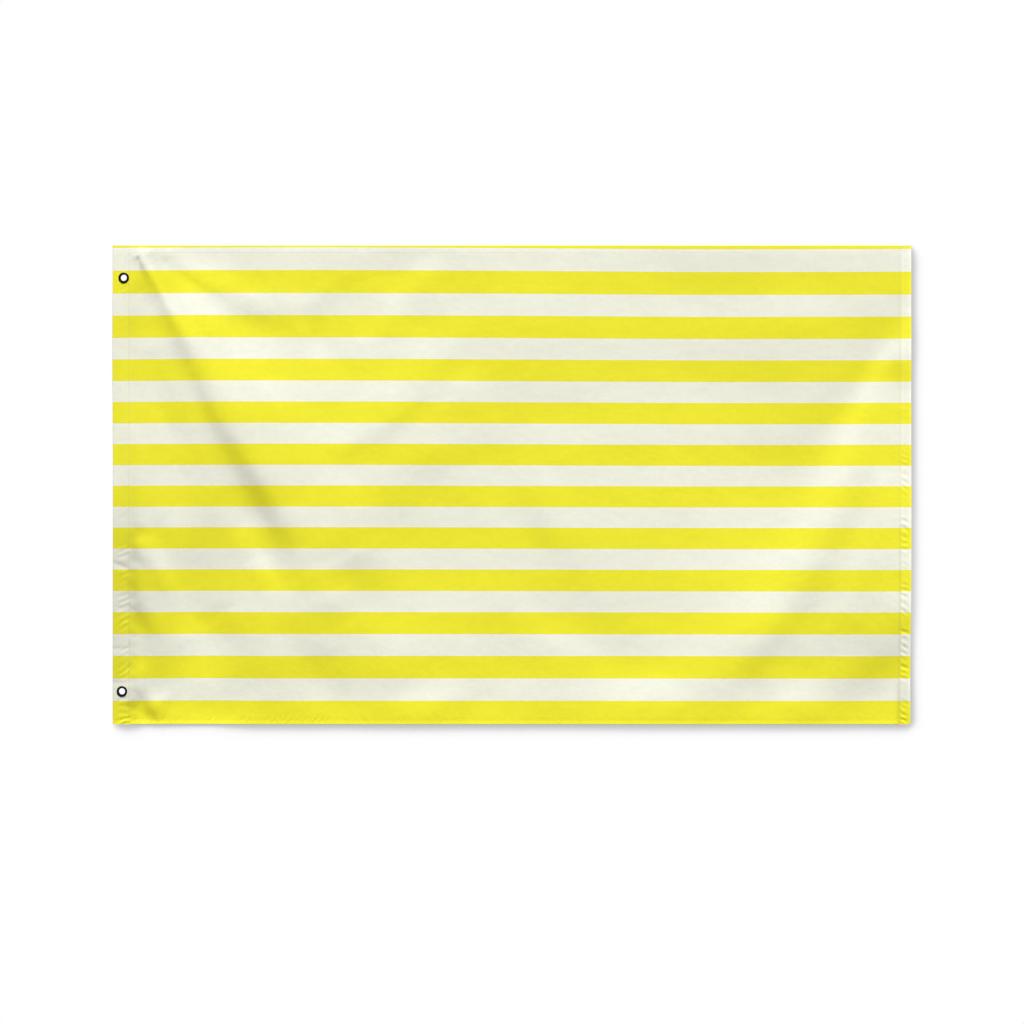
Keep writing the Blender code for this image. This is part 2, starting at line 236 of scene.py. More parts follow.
def height(u, v):
    """How far the front of the cloth stands towards the viewer, in mm, on the grid of lines u by v."""
    h = cubic(gu, u) @ field @ cubic(gv, v).T
    U, V = np.meshgrid(u, v, indexing="ij")
    # puckers that the seams draw up, stronger here and there
    soft = waves(U, V, 9, 30, 90, 21)
    gather = (1 - smooth(abs(U - 22), 5, 17)) * (0.03 + 0.13 * smooth(V, 440, 600)) * np.clip(0.75 + 0.75 * waves(U * 0, V, 7, 40, 120, 31), 0, 2.2)
    h = h + gather * np.sin(2 * np.pi * (V + 0.45 * U) / 13.3 + 2.4 * soft)
    h = h + 0.16 * np.exp(-(((U - 36) / 10.0) ** 2)) * smooth(V, 470, 640) * np.sin(2 * np.pi * (V - 0.3 * U) / 23.0 + soft)
    soft = waves(U, V, 9, 26, 80, 22)
    gather = np.exp(-(((U - (L - 13)) / 6.0) ** 2)) * (0.02 + 0.25 * smooth(V, 290, 560)) * np.clip(0.75 + 0.75 * waves(U * 0, V, 7, 40, 110, 32), 0, 2.2)
    h = h + gather * np.sin(2 * np.pi * (V - 0.45 * (U - L)) / 13.1 + 1.4 * soft)
    soft = waves(U, V, 9, 26, 80, 23)
    gather = np.exp(-(((V - (H - 9)) / 5.0) ** 2)) * (0.05 + 0.07 * (1 - smooth(U, 300, 900))) * np.clip(0.8 + 0.7 * waves(U, V * 0, 7, 40, 120, 33), 0, 2.2)
    h = h + gather * np.sin(2 * np.pi * (U + 0.4 * V) / 12.0 + 1.6 * soft)
    # short pinched creases: a sharp upper side and a softer lower one
    for cu, cv, slope, half, wide, deep in CREASES:
        along = ((U - cu) + (V - cv) * slope) / math.hypot(1, slope)
        off = ((V - cv) - (U - cu) * slope) / math.hypot(1, slope)
        h = h - deep * np.exp(-((along / half) ** 4)) * np.exp(-((off / np.where(off < 0, wide, 1.9 * wide)) ** 2))
    # the crisp crest that starts at the heading's upper end
    s, off = (U - 47) * 0.515 + (V - 19) * 0.857, (V - 19) * 0.515 - (U - 47) * 0.857
    h = h + 0.60 * np.exp(-np.maximum(s, 0) / 52) * smooth(s, -7, 4) * np.exp(-np.sqrt(off**2 + 1.0) / 6.5)
    # the seams sit a little lower, and the ply inside a hem shows as a low step
    for row in (24.0, 31.9):
        h = h - 0.14 * np.exp(-(((U - row) / 1.7) ** 2))
    for row in (L - 20.5, L - 12.0):
        h = h - 0.12 * np.exp(-(((U - row) / 1.7) ** 2))
    h = h - 0.05 * np.exp(-(((V - 13.0) / 1.8) ** 2)) - 0.08 * np.exp(-(((V - (H - 8.2)) / 1.8) ** 2))
    # the eyelets clamp the heading flat, with short puckers round them
    for hu, hv in HOLES:
        r = np.hypot(U - hu, V - hv)
        h = h * smooth(r, 10.5, 15.5) + 0.10 * np.exp(-(((r - 13.5) / 2.0) ** 2)) * np.sin(9 * np.arctan2(V - hv, U - hu) + 0.6)
    return h


CREASES = [                                          # middle, slope down to the right, half length, half width, depth
    (L - 11.5, 737, 0.36, 8.5, 1.7, 0.62),
    (L - 11.5, 804.5, 0.36, 8.5, 1.7, 0.72),
    (L - 10.5, 874.5, 0.34, 7.5, 1.7, 0.66),
    (L - 10, 702, 0.30, 5, 1.6, 0.22),
    (L - 9, 768, 0.30, 5, 1.6, 0.22),
    (L - 11, 655, 0.40, 6, 1.8, 0.25),
    (10, 769, -0.02, 32, 2.6, 0.42),
    (16, 611, 0.40, 20, 3.6, 0.55),
    (16, 692, 0.30, 11, 3.0, 0.25),
    (8, 834, 0.10, 18, 2.8, 0.32),
    (42, 852, 0.95, 13, 3.4, 0.35),
]


def swell(u):
    """Half the height of the heading over its tape, in mm, which the cloth leaves beyond the tape's edge."""
    return 1.0 * (1 - smooth(u, 29.0, 36.5))


# ---------------------------------------------------------------- sheets
def normals_of(P):
    """Unit normals of a grid of points, pointing to the front."""
    du = np.gradient(P, axis=0)
    dv = np.gradient(P, axis=1)
    n = np.cross(du, dv)
    n /= np.linalg.norm(n, axis=-1, keepdims=True) + 1e-12
    return n


def to_row(u, v, y):
    """Flat place in mm and distance behind the flag's plane in mm, to metres in the row frame."""
    u, v = np.asarray(u, float), np.asarray(v, float)
    # the bulging cloth draws its fly and bottom edges in a little, and the hoist edge is not quite straight
    drawn = 1.5 * smooth(v, 430, 860) * smooth(u, L - 260, L)
    edge = np.interp(v, [40, 90, 150, 235, 318, 400, 560, 640, 800], [0, -0.1, -0.55, -0.7, -0.1, 0.35, 0.35, 0.1, 0.0]) * np.exp(-u / 60)
    return np.stack([X0 + (u - drawn + edge) / 1000, y / 1000, Z1 - (v - 0.3 * smooth(v, 780, 905)) / 1000], -1)


def solid_sheet(name, P, N, uv, thick, keep=None, snap=None, reverse=None):
    """A closed sheet about the grid P: front and back layers and a rim. keep marks the cells that stay."""
    nu, nv = P.shape[:2]
    keep = np.ones((nu - 1, nv - 1), bool) if keep is None else keep
    if snap is not None:
        P = snap(P)
    idx = np.arange(nu * nv).reshape(nu, nv)
    a, b, c, d = idx[:-1, :-1][keep], idx[1:, :-1][keep], idx[1:, 1:][keep], idx[:-1, 1:][keep]
    used = np.zeros(nu * nv, bool)
    for k in (a, b, c, d):
        used[k] = True
    new = np.full(nu * nv, -1)
    new[used] = np.arange(used.sum())
    count = int(used.sum())
    p, n, t = P.reshape(-1, 3)[used], N.reshape(-1, 3)[used], uv.reshape(-1, 2)[used]
    co = np.vstack([p + n * thick / 2000, p - n * thick / 2000])
    front = np.stack([new[a], new[b], new[c], new[d]], 1)
    # the front layer faces along N
    q = co[front[0]]
    turn = np.cross(q[1] - q[0], q[3] - q[0]) @ n[front[0, 0]]
    if turn < 0:
        front = front[:, ::-1]
    back = front[:, ::-1] + count
    e = np.concatenate([front[:, [i, (i + 1) % 4]] for i in range(4)])
    rim = []
    codes = e[:, 0].astype(np.int64) * count + e[:, 1]
    twins = e[:, 1].astype(np.int64) * count + e[:, 0]
    lone = ~np.isin(codes, twins)
    for i, j in e[lone]:
        rim.append((j, i, i + count, j + count))
    rim = np.array(rim, int).reshape(-1, 4)
    faces = np.vstack([front, back, rim])
    mesh = bpy.data.meshes.new(name)
    mesh.vertices.add(len(co))
    mesh.vertices.foreach_set("co", co.ravel())
    mesh.loops.add(faces.size)
    mesh.loops.foreach_set("vertex_index", faces.ravel())
    mesh.polygons.add(len(faces))
    mesh.polygons.foreach_set("loop_start", np.arange(0, faces.size, 4))
    mesh.polygons.foreach_set("loop_total", np.full(len(faces), 4))
    mesh.update(calc_edges=True)
    mesh.validate()
    mesh.polygons.foreach_set("use_smooth", np.ones(len(faces), bool))
    both = np.vstack([t, t])
    layer = mesh.uv_layers.new(name="flat_mm")
    layer.data.foreach_set("uv", both[faces.ravel()].ravel() / 1000)
    side = mesh.attributes.new("reverse", "FLOAT", "POINT")
    r = np.zeros(count) if reverse is None else np.broadcast_to(reverse, (nu, nv)).reshape(-1)[used]
    side.data.foreach_set("value", np.concatenate([r, 1 - r]).astype(np.float32))
    vn = np.vstack([n, -n])
    loops = vn[faces.ravel()].reshape(-1, 4, 3)
    if len(rim):
        f = co[rim]
        flat = np.cross(f[:, 1] - f[:, 0], f[:, 3] - f[:, 0])
        flat /= np.linalg.norm(flat, axis=1, keepdims=True) + 1e-12
        loops[len(front) + len(back) :] = flat[:, None, :]
    mesh.normals_split_custom_set(loops.reshape(-1, 3))
    made = bpy.data.objects.new(name, mesh)
    bpy.context.scene.collection.objects.link(made)
    return made


def spaced(a, b, step):
    n = max(1, int(round((b - a) / step)))
    return list(a + (b - a) * np.arange(n) / n)


def print_shift(u, v):
    """How far the printed stripes wander from straight, in mm: they are printed on cloth that gives."""
    at = np.interp(
        u,
        [0, 43, 90, 167, 262, 453, 549, 644, 740, 854, 969, 1083, 1198, 1313, 1427, 1524],
        [-0.1, -0.6, -0.8, -1.3, -1.5, -1.5, -1.1, -0.6, 0.0, 0.8, 1.5, 2.1, 2.3, 2.3, 2.1, 1.6],
    )
    return at * (1 - np.clip(v / H, 0, 1))


# lines across the flag, top to bottom; the fine lines lie between the coarse ones
coarse_v = np.array(
    [FOLD] + spaced(2.2, 22, 2.2) + spaced(22, 110, 3.0) + spaced(110, H - 20, 5.2) + spaced(H - 20, H - 2.0, 2.0) + [H - 2.0, H - FOLD]
)
fine_v = np.sort(np.concatenate([coarse_v, (coarse_v[:-1] + coarse_v[1:]) / 2]))


def hemmed(v):
    """Walks down the sheet: the turned-back top hem, its fold, the front, the bottom fold and hem.
    Gives each line's height on the flag, its distance behind the front and its place on the flat cloth."""
    arc = np.pi * np.arange(1, 7) / 7
    top_back = np.array([TOP_HEM, TOP_HEM - 1.2, 11, 8, 5, 2.6, 1.2, FOLD])
    bottom_back = np.array([FOLD, 1.2, 2.6, 5, 7.5, BOTTOM_HEM - 1.0, BOTTOM_HEM])
    vs = np.concatenate([top_back, FOLD - FOLD * np.sin(arc), v, H - FOLD + FOLD * np.sin(arc), H - bottom_back])
    off = np.concatenate([np.full(len(top_back), 2 * FOLD), FOLD + FOLD * np.cos(arc), np.zeros(len(v)), FOLD - FOLD * np.cos(arc), np.full(len(bottom_back), 2 * FOLD)])
    q = np.pi * FOLD
    flat = np.concatenate([-(top_back - FOLD) - q, -q + q * np.arange(1, 7) / 7, v, H - FOLD + q * np.arange(1, 7) / 7, H - 2 * FOLD + q + bottom_back])
    return vs, off, flat


vs, off, flat_v = hemmed(coarse_v)
u_lines = np.array(
    spaced(HEADING, 60, 2.2) + spaced(60, 105, 2.8) + spaced(105, 420, 4.8) + spaced(420, L - 60, 6.2) + spaced(L - 60, L - FLY, 3.5) + [L - FLY]
)
SPLITS = [HEADING] + [(a + b) / 2 for a, b in zip(HINGES[:-1], HINGES[1:])] + [L - FLY]
for s in SPLITS[1:-1]:
    u_lines[np.argmin(abs(u_lines - s))] = s


def hem_grid(u):
    """The whole sheet with its hems on the lines u."""
    order = np.argsort(vs, kind="stable")
    h = height(u, vs[order])
    hh = np.empty_like(h)
    hh[:, order] = h
    base = to_row(*np.meshgrid(u, vs, indexing="ij"), -hh - swell(u)[:, None])
    e = 0.5
    hu = (height(u + e, vs[order]) - height(u - e, vs[order])) / (2 * e)
    hv = (height(u, vs[order] + e) - height(u, vs[order] - e)) / (2 * e)
    n = np.empty_like(base)
    n[:, order] = np.stack([-hu, -np.ones_like(hu), hv], -1)      # front normal, y = -h, z = -v
    n /= np.linalg.norm(n, axis=-1, keepdims=True)
    return base - n * (off[None, :, None] / 1000)


wide = np.concatenate([[u_lines[0] - 2.2], u_lines, [u_lines[-1] + 3.0]])
P_all = hem_grid(wide)
N_all = normals_of(P_all)
mid = P_all.shape[1] // 2
if N_all[len(wide) // 2, mid, 1] > 0:
    N_all = -N_all
P_all, N_all = P_all[1:-1], N_all[1:-1]
UV_all = np.stack(np.meshgrid(u_lines, flat_v, indexing="ij"), -1)
UV_all[..., 1] -= print_shift(UV_all[..., 0], UV_all[..., 1])

cloth = []
for i in range(4):
    a, b = (int(np.argmin(abs(u_lines - SPLITS[i + k]))) for k in (0, 1))
    piece = solid_sheet(f"flag_cloth_{i + 1}", P_all[a : b + 1], N_all[a : b + 1], UV_all[a : b + 1], PLY)
    cloth.append(piece)

# ---------------------------------------------------------------- fly hem: finer, with the strip folded behind
arc = np.pi * np.arange(1, 8) / 8
fly_front = np.array(spaced(L - FLY, L - FOLD, 1.7) + [L - FOLD])
fly_back = L - np.array([FOLD, 1.5, 4, 7, 10, 12, 14, 16.5, 19, 20.6, FLY - 0.3])
fu = np.concatenate([fly_front, L - FOLD + FOLD * np.sin(arc), fly_back])
stack = 2 * FOLD + 0.02 + 0.98 * (1 - smooth(fine_v, 14.8, 19.5)) + 0.98 * smooth(fine_v, H - 14, H - 9.6)
share = np.concatenate([np.zeros(len(fly_front)), (1 - np.cos(arc)) / 2, np.ones(len(fly_back))])


def fly_grid():
    order = np.argsort(fu, kind="stable")

    def read(du=0.0, dv=0.0):
        h = height(fu[order] + du, fine_v + dv)
        out = np.empty_like(h)
        out[order] = h
        return out

    base = to_row(*np.meshgrid(fu, fine_v, indexing="ij"), -read())
    hu, hv = (read(0.5) - read(-0.5)), (read(0, 0.5) - read(0, -0.5))
    n = np.stack([-hu, -np.ones_like(hu), hv], -1)
    n /= np.linalg.norm(n, axis=-1, keepdims=True)
    return base - n * (share[:, None] * stack[None, :] / 1000)[..., None]


P = fly_grid()
P[:, 0, 2] = Z1 - 0.0003
P[:, -1, 2] = Z0 + 0.0003
# the shared edge runs straight between the coarse lines
edge = np.stack([np.interp(fine_v, coarse_v, P[0, :, k][np.searchsorted(fine_v, coarse_v)]) for k in range(3)], -1)
P[0] = edge
N = normals_of(P)
if N[4, len(fine_v) // 2, 1] > 0:
    N = -N
start = int(np.argmin(abs(u_lines - (L - FLY))))
first = 8 + 6
N[0] = np.stack([np.interp(fine_v, coarse_v, N_all[start, first : first + len(coarse_v), k]) for k in range(3)], -1)
N[0] /= np.linalg.norm(N[0], axis=-1, keepdims=True)
flat_u = np.concatenate([fly_front, L - FOLD + np.pi * FOLD * np.arange(1, 8) / 8, L - FOLD + np.pi * FOLD + (L - FOLD - fly_back)])
UV = np.stack(np.meshgrid(flat_u, fine_v, indexing="ij"), -1)
UV[..., 1] -= print_shift(UV[..., 0], UV[..., 1])
fly = solid_sheet("fly_hem_cloth", P, N, UV, PLY)

# ---------------------------------------------------------------- heading: front ply, fold at the hoist, back ply
R = 1.0
hfront = np.array(spaced(R, HEADING, 1.6) + [HEADING])[::-1]
harc = np.pi / 2 + np.pi * np.arange(1, 8) / 8
hback = np.array(spaced(R, HEADING - 0.4, 1.6) + [HEADING - 0.4])
hu_ = np.concatenate([hfront, R + R * np.cos(harc), hback])
hy_ = np.concatenate([-np.ones(len(hfront)), -np.sin(harc), np.ones(len(hback))])
top_v = np.concatenate([[0.2, 0.9], fine_v[1:-1], [H - 0.9, H - 0.2]])


def heading_grid():
    order = np.argsort(hu_, kind="stable")
    h = height(hu_[order], top_v)
    hh = np.empty_like(h)
    hh[order] = h
    half = np.where(np.arange(len(hu_)) < len(hfront), swell(hu_), R)
    # behind, the ply lies against the cloth beyond the tape's edge
    behind = np.where(hu_ > 28, R - 0.30 * smooth(hu_, 28, 33), R)
    y = np.where(hy_ < 0, hy_ * half, hy_ * behind)
    return to_row(*np.meshgrid(hu_, top_v, indexing="ij"), -hh + y[:, None])


P = heading_grid()
edge = np.stack([np.interp(top_v, coarse_v, np.interp(coarse_v, top_v, P[0, :, k])) for k in range(3)], -1)
P[0, :, 1] = edge[:, 1]
N = normals_of(P)
if N[4, len(top_v) // 2, 1] > 0:
    N = -N
N[0] = np.stack([np.interp(top_v, coarse_v, N_all[0, first : first + len(coarse_v), k]) for k in range(3)], -1)
N[0] /= np.linalg.norm(N[0], axis=-1, keepdims=True)
flat_h = np.concatenate([hfront, R - R * np.pi * np.arange(1, 8) / 8, R - R * np.pi - (hback - R)])
UV = np.stack(np.meshgrid(flat_h, top_v, indexing="ij"), -1)
UV[..., 1] -= print_shift(np.maximum(UV[..., 0], 0), UV[..., 1])
HOLE_R = 7.4


def hole_cells(P):
    """Cells clear of the eyelets' holes, and a mover that brings the holes' edges onto circles."""
    x, z = (P[..., 0] - X0) * 1000, (Z1 - P[..., 2]) * 1000
    inside = np.zeros(P.shape[:2], bool)
    for hu, hv in HOLES:
        inside |= np.hypot(x - hu, z - hv) < HOLE_R + 0.35
    cell = inside[:-1, :-1] | inside[1:, :-1] | inside[1:, 1:] | inside[:-1, 1:]
    keep = ~cell

    def snap(Q):
        Q = Q.copy()
        used = np.zeros(Q.shape[:2], bool)
        gone = np.zeros(Q.shape[:2], bool)
        for a in (slice(0, -1), slice(1, None)):
            for b in (slice(0, -1), slice(1, None)):
                used[a, b] |= keep
                gone[a, b] |= ~keep
        for hu, hv in HOLES:
            r = np.hypot(x - hu, z - hv)
            m = used & gone & (r < HOLE_R + 5)
            Q[..., 0][m] = X0 + (hu + (x[m] - hu) / r[m] * HOLE_R) / 1000
            Q[..., 2][m] = Z1 - (hv + (z[m] - hv) / r[m] * HOLE_R) / 1000
        return Q

    return keep, snap


keep, snap = hole_cells(P)
heading = solid_sheet("heading_cloth", P, N, UV, PLY, keep=keep, snap=snap)

# ---------------------------------------------------------------- webbing tape inside the heading
tu, tv = np.array(spaced(2.4, 30.2, 1.6) + [30.2]), np.concatenate([[3.0], fine_v[(fine_v > 4) & (fine_v < H - 4)][::2], [H - 3.0]])
P = to_row(*np.meshgrid(tu, tv, indexing="ij"), -height(tu, tv))
N = normals_of(P)
if N[4, len(tv) // 2, 1] > 0:
    N = -N
keep, snap = hole_cells(P)
tape = solid_sheet("heading_webbing", P, N, np.stack(np.meshgrid(tu, tv, indexing="ij"), -1), 0.8, keep=keep, snap=snap)


# ---------------------------------------------------------------- stitches
def stitches(name, rows, pitch=3.9, long=3.1, r=0.19):
    """rows: (front u values, v values, distance to the face, side) sampled along each row in flat mm."""
    verts, faces, uvs = [], [], []
    sides = 5
    for (u, v), lift, side in rows:
        length = np.concatenate([[0], np.cumsum(np.hypot(np.diff(u), np.diff(v)))])
        n = int(length[-1] / pitch)
        pad = (length[-1] - n * pitch) / 2
        jitter = rng.uniform(-0.12, 0.12, (n, 2))
        for k in range(n):
            s0 = pad + k * pitch + (pitch - long) / 2 + jitter[k, 0]
            s = s0 + long * np.array([0.0, 0.14, 0.5, 0.86, 1.0])
            pu, pv = np.interp(s, length, u), np.interp(s, length, v)
            point = at_surface(pu, pv)
            lifted = (lift + r * np.array([-1.3, -0.15, 0.15, -0.15, -1.3])) / 1000
            # frame along the row
            along = np.gradient(point, axis=0)
            along /= np.linalg.norm(along, axis=1, keepdims=True)
            out = side_normal(pu, pv) * side
            cross = np.cross(along, out)
            p = point + out * lifted[:, None] + cross * (jitter[k, 1] / 1000)
            radius = r * np.array([0.55, 0.95, 1.0, 0.95, 0.55]) / 1000
            base = len(verts)
            for i in range(5):
                for j in range(sides):
                    t = 2 * math.pi * (j + 0.5 * (i % 2)) / sides
                    verts.append(p[i] + radius[i] * (math.cos(t) * out[i] + math.sin(t) * cross[i]))
            for i in range(4):
                for j in range(sides):
                    q = (j + 1) % sides
                    faces.append((base + i * sides + j, base + i * sides + q, base + (i + 1) * sides + q, base + (i + 1) * sides + j))
            faces.append(tuple(base + j for j in range(sides))[::-1])
            faces.append(tuple(base + 4 * sides + j for j in range(sides)))
    mesh = bpy.data.meshes.new(name)
    mesh.from_pydata([tuple(map(float, c)) for c in verts], [], faces)
    mesh.validate()
    mesh.update()
    import bmesh

    bm = bmesh.new()
    bm.from_mesh(mesh)
    bmesh.ops.recalc_face_normals(bm, faces=bm.faces)
    bm.to_mesh(mesh)
    bm.free()
    mesh.polygons.foreach_set("use_smooth", np.ones(len(mesh.polygons), bool))
    made = bpy.data.objects.new(name, mesh)
    bpy.context.scene.collection.objects.link(made)
    return made


# the surface's height and slopes on a fine even grid, read between its lines
eu, ev = np.arange(-2, L + 4, 2.0), np.arange(-2, H + 4, 2.0)
E = height(eu, ev)
E = E + swell(eu)[:, None]
EU, EV = np.gradient(E, 2.0)


def read(grid, u, v):
    fu_, fv_ = (np.asarray(u) - eu[0]) / 2.0, (np.asarray(v) - ev[0]) / 2.0
    i, j = np.clip(fu_.astype(int), 0, len(eu) - 2), np.clip(fv_.astype(int), 0, len(ev) - 2)
    a, b = fu_ - i, fv_ - j
    return (grid[i, j] * (1 - a) + grid[i + 1, j] * a) * (1 - b) + (grid[i, j + 1] * (1 - a) + grid[i + 1, j + 1] * a) * b


def at_surface(u, v):
    return to_row(np.asarray(u, float), np.asarray(v, float), -read(E, u, v))


def side_normal(u, v):
    n = np.stack([-read(EU, u, v), -np.ones(len(u)), read(EV, u, v)], -1)
    return n / np.linalg.norm(n, axis=-1, keepdims=True)


def line_v(u, v0, v1):
    v = np.arange(v0, v1, 2.0)
    return np.full(len(v), float(u)), v


def line_u(v, u0, u1):
    u = np.arange(u0, u1, 2.0)
    return u, np.full(len(u), float(v))


face = PLY / 2
clear = 11.2
heading_rows = []
u1 = 24.0
spans = [(3, HOLES[0][1] - clear), (HOLES[0][1] + clear, HOLES[1][1] - clear), (HOLES[1][1] + clear, H - 3)]
for a, b in spans:
    heading_rows.append((line_v(u1, a, b), face, 1))
    heading_rows.append((line_v(u1, a, b), 2 * R + face, -1))
heading_rows.append((line_v(31.9, 2, H - 2), face, 1))
heading_rows.append((line_v(31.9, 2, H - 2), 2 * R - 0.75 + face, -1))
heading_stitches = stitches("heading_stitches", heading_rows)
fly_rows = []
for row in (L - 20.5, L - 12.0):
    fly_rows.append((line_v(row, 2, H - 2), face, 1))
    fly_rows.append((line_v(row, 18.5, H - 13), 2 * FOLD + face, -1))
fly_stitches = stitches("fly_hem_stitches", fly_rows)
hem_stitches = []
for i in range(4):
    a, b = SPLITS[i] + 1.0, SPLITS[i + 1] - 0.4
    rows_ = []
    for v in (13.0, H - 8.2):
        rows_.append((line_u(v, a, b), face, 1))
        rows_.append((line_u(v, a, b), 2 * FOLD + face, -1))
    hem_stitches.append(stitches(f"hem_stitches_{i + 1}", rows_))


# ---------------------------------------------------------------- eyelets and washers
def turned(name, profile, steps=72):
    """A closed profile of (radius, distance to the front) in mm, turned about the hole's axis."""
    prof = np.array(profile, float)
    n = len(prof)
    ang = 2 * np.pi * np.arange(steps) / steps
    r, y = prof[:, 0][None] / 1000, -prof[:, 1][None] / 1000
    co = np.stack([r * np.cos(ang)[:, None], np.broadcast_to(y, (steps, n)), r * np.sin(ang)[:, None]], -1).reshape(-1, 3)
    faces = []
    for i in range(steps):
        k = (i + 1) % steps
        for j in range(n):
            q = (j + 1) % n
            faces.append((i * n + j, k * n + j, k * n + q, i * n + q))
    mesh = bpy.data.meshes.new(name)
    mesh.from_pydata([tuple(map(float, c)) for c in co], [], faces)
    mesh.update()
    import bmesh

    bm = bmesh.new()
    bm.from_mesh(mesh)
    bmesh.ops.recalc_face_normals(bm, faces=bm.faces)
    bm.to_mesh(mesh)
    bm.free()
    mesh.polygons.foreach_set("use_smooth", np.ones(len(mesh.polygons), bool))
    made = bpy.data.objects.new(name, mesh)
    bpy.context.scene.collection.objects.link(made)
    return made


def rounded(points, cuts=3):
    """The profile with its corners cut round."""
    p = np.array(points, float)
    for _ in range(cuts):
        q = np.roll(p, -1, 0)
        p = np.stack([0.75 * p + 0.25 * q, 0.25 * p + 0.75 * q], 1).reshape(-1, 2)
    return p


eyelets, washers = [], []
F = 1.28                                             # face of the cloth at the heading, with a hair of room
eye_profile = rounded([
    (5.9, F + 0.5), (6.1, F + 1.05), (6.9, F + 1.40), (8.0, F + 1.46), (9.2, F + 1.18), (10.05, F + 0.62), (10.2, F + 0.12), (9.9, F + 0.0),
    (8.2, F + 0.10), (6.9, F + 0.05), (6.85, F - 0.5), (6.85, -F - 0.6), (7.0, -F - 1.0), (7.7, -F - 1.05), (8.25, -F - 1.2), (8.25, -F - 1.65),
    (7.7, -F - 1.92), (6.9, -F - 1.90), (6.1, -F - 1.5), (5.9, -F - 0.9),
], 2)
washer_profile = rounded([
    (7.15, -F - 0.0), (7.15, -F - 0.72), (8.6, -F - 0.80), (9.5, -F - 0.66), (10.1, -F - 0.34), (10.2, -F - 0.04), (9.8, -F + 0.0), (8.5, -F - 0.06),
], 2)
for which, (hu, hv) in zip(("upper", "lower"), HOLES):
    for kind, profile, store in (("eyelet", eye_profile, eyelets), ("washer", washer_profile, washers)):
        made = turned(f"{which}_{kind}_finished", profile)
        made.location = (X0 + hu / 1000, 0, Z1 - hv / 1000)
        store.append(made)


# ---------------------------------------------------------------- materials
class Nodes:
    """Short-hand for building a node tree."""

    def __init__(self, name):
        self.m = bpy.data.materials.new(name)
        self.m.use_nodes = True
        self.t = self.m.node_tree
        self.shader = self.t.nodes["Principled BSDF"]

    def put(self, socket, value):
        if isinstance(value, bpy.types.NodeSocket):
            self.t.links.new(value, socket)
        elif value is not None:
            socket.default_value = value

    def node(self, kind, **props):
        n = self.t.nodes.new(kind)
        for k, v in props.items():
            setattr(n, k, v)
        return n

    def math(self, op, a, b=None, c=None, clamp=False):
        n = self.node("ShaderNodeMath", operation=op, use_clamp=clamp)
        for s, v in zip(n.inputs, (a, b, c)):
            self.put(s, v)
        return n.outputs[0]

    def mix(self, factor, a, b, how="MIX"):
        n = self.node("ShaderNodeMix", data_type="RGBA", blend_type=how)
        self.put(n.inputs[0], factor)
        self.put(n.inputs[6], a)
        self.put(n.inputs[7], b)
        return n.outputs[2]

    def noise(self, vector, scale, detail=4.0, rough=0.55):
        n = self.node("ShaderNodeTexNoise")
        self.put(n.inputs["Vector"], vector)
        self.put(n.inputs["Scale"], scale)
        self.put(n.inputs["Detail"], detail)
        self.put(n.inputs["Roughness"], rough)
        return n.outputs["Fac"]

    def ramp(self, value, a, b, to_a=0.0, to_b=1.0, how="SMOOTHSTEP"):
        n = self.node("ShaderNodeMapRange", interpolation_type=how)
        for s, v in zip(n.inputs, (value, a, b, to_a, to_b)):
            self.put(s, v)
        return n.outputs[0]

    def bump(self, height_, strength, distance, normal=None):
        n = self.node("ShaderNodeBump")
        n.inputs["Strength"].default_value = strength
        n.inputs["Distance"].default_value = distance
        self.put(n.inputs["Height"], height_)
        if normal is not None:
            self.put(n.inputs["Normal"], normal)
        return n.outputs[0]


CREAM = (0.800, 0.798, 0.673, 1)
YELLOW = (0.800, 0.748, 0.022, 1)


